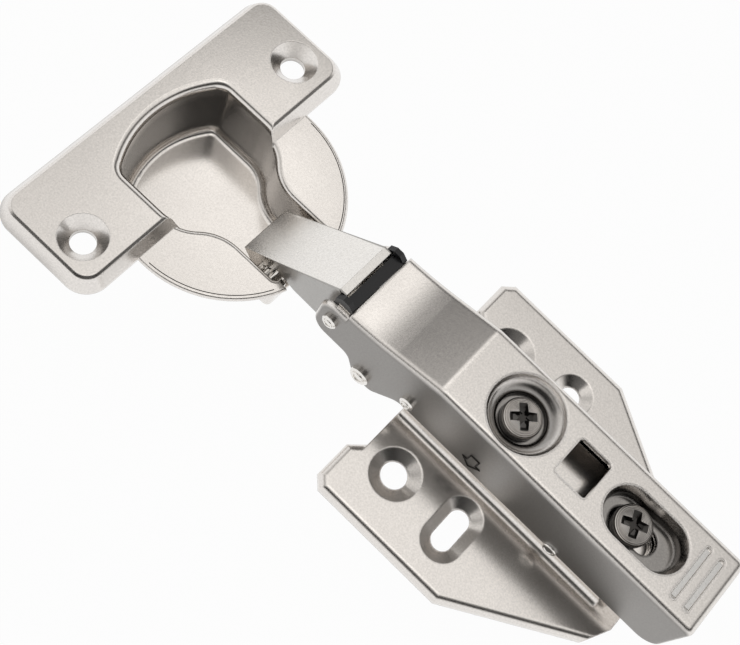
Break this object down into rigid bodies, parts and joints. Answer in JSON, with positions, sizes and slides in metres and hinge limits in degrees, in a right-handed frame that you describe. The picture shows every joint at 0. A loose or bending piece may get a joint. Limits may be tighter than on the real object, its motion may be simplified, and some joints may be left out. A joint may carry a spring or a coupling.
{
  "type": "concealed cup hinge",
  "caption": "Concealed furniture hinge shown open: drawn steel cup, folded arm on a slide-on adapter, and a winged mounting plate.",
  "frame": {"origin": "on the cabinet panel under the mounting plate, midway between its two rows of screw holes", "axes": "+X along the arm towards the cup, +Y across the arm, +Z away from the cabinet panel"},
  "size_m": [0.1202, 0.0616, 0.0289],
  "materials": {
    "plated_steel": "satin",
    "bright_steel": "polished",
    "spring_steel": "satin",
    "black_plastic": "matte"
  },
  "bodies": {
    "base": {"mounting_plate": "plated_steel", "adapter_channel": "plated_steel", "front_pin": "bright_steel", "lever_pin": "bright_steel", "lever_spring": "spring_steel"},
    "lever": {"release_lever": "plated_steel"},
    "slide": {"slide_plate": "plated_steel"},
    "depth_adjuster": {"depth_screw": "bright_steel"},
    "arm": {"arm_body": "plated_steel", "front_rivet": "bright_steel", "rear_rivet": "bright_steel", "spring_rivet": "bright_steel", "closing_spring": "spring_steel", "damper_housing": "black_plastic", "damper_cylinder": "bright_steel", "front_guide": "black_plastic", "guide_tabs": "bright_steel"},
    "overlay_adjuster": {"overlay_screw": "bright_steel"},
    "plunger": {"damper_rod": "bright_steel"},
    "outer_link": {"outer_link": "plated_steel"},
    "inner_link": {"inner_link": "plated_steel"},
    "cup": {"hinge_cup": "plated_steel", "outer_cup_pin": "bright_steel", "inner_cup_pin": "bright_steel"}
  },
  "joints": [
    {"name": "lever_release", "type": "hinge", "parent": "base", "child": "lever", "pos_m": [-0.0332, 0, 0.0096], "axis": [0, 1, 0], "range_deg": [0, 20], "stiffness_Nm_per_rad": 0.02, "springref_deg": -20.05},
    {"name": "depth_slide", "type": "slide", "parent": "base", "child": "slide", "axis": [1, 0, 0], "range_m": [-0.0015, 0.003]},
    {"name": "depth_turn", "type": "hinge", "parent": "base", "child": "depth_adjuster", "pos_m": [-0.02414, 0, 0.016], "axis": [0, 0, 1], "range_deg": [-90.1, 180.2]},
    {"name": "arm_tilt", "type": "hinge", "parent": "slide", "child": "arm", "pos_m": [-0.02414, 0, 0.01539], "axis": [0, 1, 0], "range_deg": [-2, 0]},
    {"name": "overlay_turn", "type": "hinge", "parent": "arm", "child": "overlay_adjuster", "pos_m": [-0.00134, 0, 0.016], "axis": [0, 0, 1], "range_deg": [0, 400.2]},
    {"name": "plunger_slide", "type": "slide", "parent": "arm", "child": "plunger", "axis": [1, 0, 0], "range_m": [-0.0016, 0], "stiffness_N_per_m": 500, "springref_m": 0.002},
    {"name": "outer_link_turn", "type": "hinge", "parent": "arm", "child": "outer_link", "pos_m": [0.02976, 0, 0.01126], "axis": [0, 1, 0], "range_deg": [-0.1, 2]},
    {"name": "inner_link_turn", "type": "hinge", "parent": "arm", "child": "inner_link", "pos_m": [0.02096, 0, 0.00391], "axis": [0, 1, 0], "range_deg": [-0.1, 13.4]},
    {"name": "cup_fold", "type": "hinge", "parent": "outer_link", "child": "cup", "pos_m": [0.04475, 0, -0.00054], "axis": [0, 1, 0], "range_deg": [-94.48, 0]}
  ],
  "couplings": [
    {"joint": "depth_turn", "follows": "depth_slide", "rad_per_m": 1047.2},
    {"joint": "overlay_turn", "follows": "arm_tilt", "ratio": -200},
    {"joint": "outer_link_turn", "follows": "cup_fold", "ratio": -0.02},
    {"joint": "inner_link_turn", "follows": "cup_fold", "ratio": -0.14}
  ]
}
